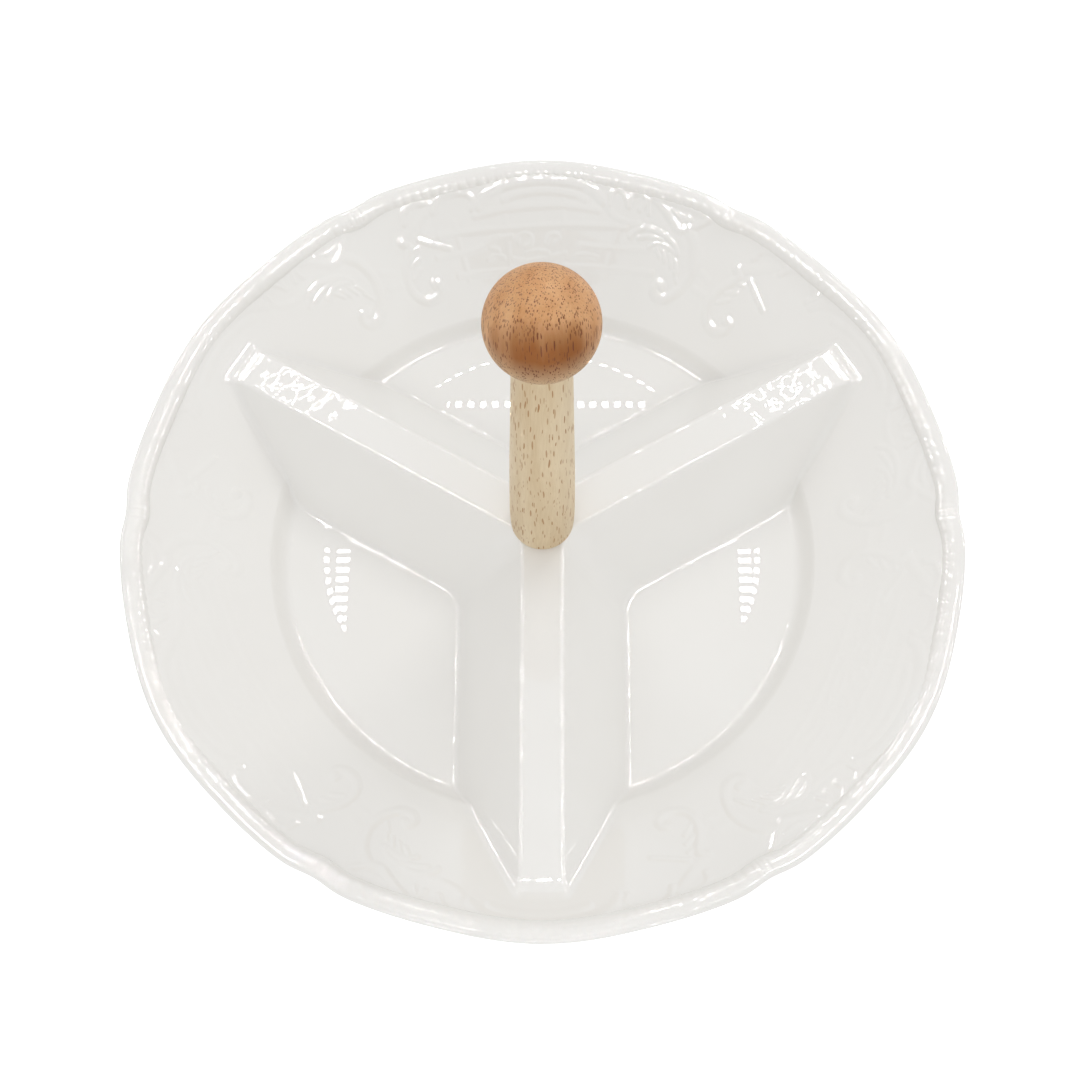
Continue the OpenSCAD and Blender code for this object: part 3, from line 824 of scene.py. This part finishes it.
shank = turned_piece("clamp_screw_shank", [
    (0, WASHER_Z - 0.5), (SCREW_R, WASHER_Z - 0.5), (SCREW_R, WASHER_Z + 1), *[(SCREW_R, z) for z in shank_z],
    (SCREW_R - 0.5, WASHER_Z + SCREW_L), (0, WASHER_Z + SCREW_L)], 64, groove)
head = turned_piece("clamp_screw_head", [
    (0, WASHER_Z - HEAD_H), *corner((HEAD_R - HEAD_EDGE, WASHER_Z - HEAD_H + HEAD_EDGE), HEAD_EDGE, -90, 0),
    (HEAD_R, WASHER_Z - 0.2), (HEAD_R - 0.2, WASHER_Z), (0, WASHER_Z)], 96)
bpy.ops.object.select_all(action="DESELECT")
bpy.ops.mesh.primitive_cylinder_add(
    vertices=6, radius=SOCKET_W / math.cos(math.radians(30)) / 2 * MM, depth=2 * SOCKET_DEPTH * MM,
    location=(0, 0, (WASHER_Z - HEAD_H) * MM))
socket_tool = bpy.context.object
bpy.ops.object.select_all(action="DESELECT")
head.select_set(True)
bpy.context.view_layer.objects.active = head
cut = head.modifiers.new("socket", "BOOLEAN")
cut.operation, cut.object, cut.solver = "DIFFERENCE", socket_tool, "EXACT"
bpy.ops.object.modifier_apply(modifier=cut.name)
bpy.data.objects.remove(socket_tool, do_unlink=True)
bpy.ops.object.shade_smooth_by_angle(angle=math.radians(30))

# %% [markdown]
# The metal washer has broken edges, the soft one is rounder.

# %% Washers
def washer_piece(name, z, thickness, edge, columns=96):
    """A ring with rounded edges, as a closed section."""
    hole = SCREW_R + 0.2
    low, high = z + edge, z + thickness - edge
    section = [
        *corner((hole + edge, low), edge, 180, 270, 3), *corner((WASHER_R - edge, low), edge, -90, 0, 3),
        *corner((WASHER_R - edge, high), edge, 0, 90, 3), *corner((hole + edge, high), edge, 90, 180, 3)]
    return turned_piece(name, [*section, section[0]], columns)


metal_washer = washer_piece("screw_washer_ring", WASHER_Z, CUSHION_Z - WASHER_Z, 0.15)
soft_washer = washer_piece("cushion_washer_ring", CUSHION_Z, HUB_SEAT_Z - CUSHION_Z, 0.4)
for piece, body, node in (
        (shank, "screw", "clamp_screw"), (head, "screw", "clamp_screw"),
        (metal_washer, "washers", "screw_washer"), (soft_washer, "washers", "cushion_washer")):
    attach(piece, body)
    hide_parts(node)
    "cushion" if node == "cushion_washer" else "steel"

# %% [markdown]
# ## Metal and rubber
# The screw and its washer are zinc plated steel, slightly cloudy. The insert is plain turned brass with fine
# lines round it. The soft washer is dull black rubber.

# %% Metal and rubber finishes
def metal(name, light, dark, roughness, lines):
    finish = Finish(name)
    place = finish.place()
    cloud = finish.noise(place, 420.0, 3.0)
    marks = finish.noise(finish.mapped(place, Scale=(40.0, 40.0, 5200.0)), 1.0, 2.0)
    bump = finish.node("ShaderNodeBump", Strength=0.2, Distance=0.00005, Height=marks * lines + cloud * 0.2)
    finish.set(
        Base_Color=finish.blend(cloud.span(0.35, 0.7), light, dark), Metallic=1.0,
        Roughness=cloud * 0.12 + (marks * 0.05 + roughness), Normal=bump.outputs[0])
    return finish


zinc = metal("zinc_plated_steel", (0.66, 0.67, 0.68), (0.52, 0.53, 0.55), 0.22, 0.3)
brass = metal("turned_brass", (0.78, 0.56, 0.22), (0.66, 0.45, 0.16), 0.24, 1.0)
for piece in (shank, head, metal_washer):
    dress(piece, zinc)
dress(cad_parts["thread_insert"], brass)

rubber = Finish("black_rubber")
dust = rubber.noise(rubber.place(), 1500.0, 3.0)
shade = rubber.blend(dust.span(0.4, 0.7), (0.018, 0.018, 0.019), (0.035, 0.035, 0.036))
pits = rubber.node("ShaderNodeBump", Strength=0.3, Distance=0.0001, Height=dust)
rubber.set(Base_Color=shade, Roughness=dust * 0.15 + 0.65, Normal=pits.outputs[0])
dress(soft_washer, rubber)
print("nodes in the metals and the rubber:", [len(f.tree.nodes) for f in (zinc, brass, rubber)])

# %% [markdown]
# ## Floor and light
# The bowl stands on white. The floor looks white to the camera and in reflections by Light Path, while it
# lights the porcelain at a plain level, so that the porcelain keeps its own tone. From beneath it is clear.

# %% Floor
FLOOR_GLOW, PAPER = 0.5, (0.9, 0.9, 0.9, 1)
bpy.ops.object.select_all(action="DESELECT")
bpy.ops.mesh.primitive_plane_add(size=6, location=(0, 0, 0))
floor = bpy.context.object
floor.name = "table_top"

paper = Finish("white_floor", empty=True)
rays = paper.node("ShaderNodeLightPath")
matt = paper.node("ShaderNodeBsdfDiffuse", Color=PAPER).outputs[0]
glow = paper.node("ShaderNodeEmission", Strength=FLOOR_GLOW).outputs[0]
white = paper.node("ShaderNodeEmission").outputs[0]
clear = paper.node("ShaderNodeBsdfTransparent").outputs[0]
beneath = paper.node("ShaderNodeNewGeometry").outputs["Backfacing"]
lifted = paper.node("ShaderNodeAddShader", i0=matt, i1=glow).outputs[0]
seen = paper.either(rays.outputs["Is Camera Ray"], matt, lifted)
mirrored = paper.wire(rays, "Is Glossy Ray").math("MAXIMUM", rays.outputs["Is Transmission Ray"])
above = paper.either(mirrored, seen, white)
paper.node("ShaderNodeOutputMaterial", Surface=paper.either(beneath, above, clear))
dress(floor, paper)
print("nodes in the floor:", len(paper.tree.nodes))

# %% [markdown]
# The room does the same: it is white to the camera and in reflections, and a plainer light for the rest.

# %% World
ROOM_LIGHT, WHITE = 0.75, (1, 1, 1, 1)
bpy.context.scene.world = bpy.data.worlds.new("studio")
studio = Finish(bpy.context.scene.world, empty=True)
rays = studio.node("ShaderNodeLightPath")
room = studio.node("ShaderNodeBackground", Color=WHITE, Strength=ROOM_LIGHT).outputs[0]
bright = studio.node("ShaderNodeBackground", Color=WHITE).outputs[0]
mirrored = studio.wire(rays, "Is Glossy Ray").math("MAXIMUM", rays.outputs["Is Transmission Ray"])
looked_at = mirrored.math("MAXIMUM", rays.outputs["Is Camera Ray"])
studio.node("ShaderNodeOutputWorld", Surface=studio.either(looked_at, room, bright))
print("nodes in the world:", len(studio.tree.nodes))

# %% [markdown]
# Three lamps shape the bowl, two from behind and one from the front. They only light it: the glaze doesn't
# mirror them. The view transform is the plain one, so that white stays white.

# %% Lamps
LAMPS_AIM = (0, 0, 0.03)
for name, lamp_place, size, energy in (
        ("window_left", (-0.6, 1.15, 1.3), (0.6, 0.4), 1.9),
        ("window_right", (0.7, 1.1, 1.3), (0.6, 0.4), 4.3),
        ("fill_front", (0, -0.9, 1.0), (0.9, 0.5), 2.5)):
    lamp = bpy.data.lights.new(name, "AREA")
    lamp.shape, lamp.size, lamp.size_y, lamp.energy = "RECTANGLE", *size, energy
    holder = bpy.data.objects.new(name, lamp)
    bpy.context.scene.collection.objects.link(holder)
    holder.location = lamp_place
    holder.rotation_mode = "QUATERNION"
    holder.rotation_quaternion = (Vector(LAMPS_AIM) - Vector(lamp_place)).to_track_quat("-Z", "Y")
    holder.visible_glossy = False
bpy.context.scene.view_settings.view_transform = "Standard"
print("lamps:", sorted(light.name for light in bpy.data.lights))

# %% [markdown]
# Round the top and the sides of the light tent run strips of small bright diodes. They matter only as mirror
# images: they give the glaze its dotted highlights and the thin white lines along every rounded edge. So they
# shine only on glossy rays that come straight from the picture, and the lamps and the room light the bowl. The
# places come from the mirrored direction of the view at each highlight in the picture.

# %% Strips of diodes
STRIP_Z, LOW_Z = 1.0, 0.38
strips = []


def strip_finish(name, axis, spacing, lit_share, strength):
    """Bright squares in a row along one axis, clear to everything but mirror images."""
    finish = Finish(name, empty=True)
    finish.owner.cycles.emission_sampling = "NONE"
    along = finish.wire(finish.node("ShaderNodeSeparateXYZ", i0=finish.place()), axis)
    lit = along.math("PINGPONG", spacing / 2).math("LESS_THAN", spacing * lit_share / 2)
    rays = finish.node("ShaderNodeLightPath")
    direct = finish.wire(rays, "Diffuse Depth").math("LESS_THAN", 0.5)
    factor = lit * (direct * rays.outputs["Is Glossy Ray"])
    clear = finish.node("ShaderNodeBsdfTransparent").outputs[0]
    shine = finish.node("ShaderNodeEmission", Strength=strength).outputs[0]
    finish.node("ShaderNodeOutputMaterial", Surface=finish.either(factor, clear, shine))
    return finish


def diode_strip(name, middle, length, width, axis, spacing, lit_share, strength, upright=False):
    """A flat strip along x (axis 0) or y (axis 1), level or standing on its edge."""
    bpy.ops.object.select_all(action="DESELECT")
    bpy.ops.mesh.primitive_plane_add(size=1, location=middle)
    obj = bpy.context.object
    obj.name = obj.data.name = name
    obj.scale = (length, width, 1) if axis == 0 else (width, length, 1)
    if upright:
        obj.rotation_euler = (math.pi / 2, 0, 0) if axis == 0 else (0, math.pi / 2, 0)
    bpy.ops.object.transform_apply(location=True, rotation=True, scale=True)
    dress(obj, strip_finish(name, axis, spacing, lit_share, strength))
    strips.append(obj)


diode_strip("strip_floor_dots", (0.002, 0.567, STRIP_Z), 0.21, 0.006, 0, 0.013, 0.4, 120)
for side, name in ((-1, "left"), (1, "right")):
    for y in (0.555, 0.573):
        diode_strip(f"strip_top_{name}_{y}", (side * 0.25, y, STRIP_Z), 0.16, 0.005, 0, 0.013, 0.5, 120)
    diode_strip(f"strip_floor_{name}", (side * 0.205, 0.325, STRIP_Z), 0.15, 0.012, 1, 0.0105, 0.45, 60)
    diode_strip(f"strip_{name}", (side * 0.39, 0.02, STRIP_Z), 0.65, 0.035, 1, 0.03, 0.6, 130)
    diode_strip(f"strip_{name}_low", (side * 1.4, 1.6, LOW_Z), 3.6, 0.03, 1, 0.05, 0.7, 90, upright=True)
for y in (0.82, 0.94):
    diode_strip(f"strip_back_{y}", (0, y, STRIP_Z), 1.6, 0.014, 0, 0.02, 0.6, 180)
diode_strip("strip_front", (0, -0.3, STRIP_Z), 0.8, 0.012, 0, 0.02, 0.7, 150)
diode_strip("strip_front_low", (0, -1.4, LOW_Z), 1.4, 0.03, 0, 0.05, 0.7, 90, upright=True)
print("strips of diodes:", len(strips))
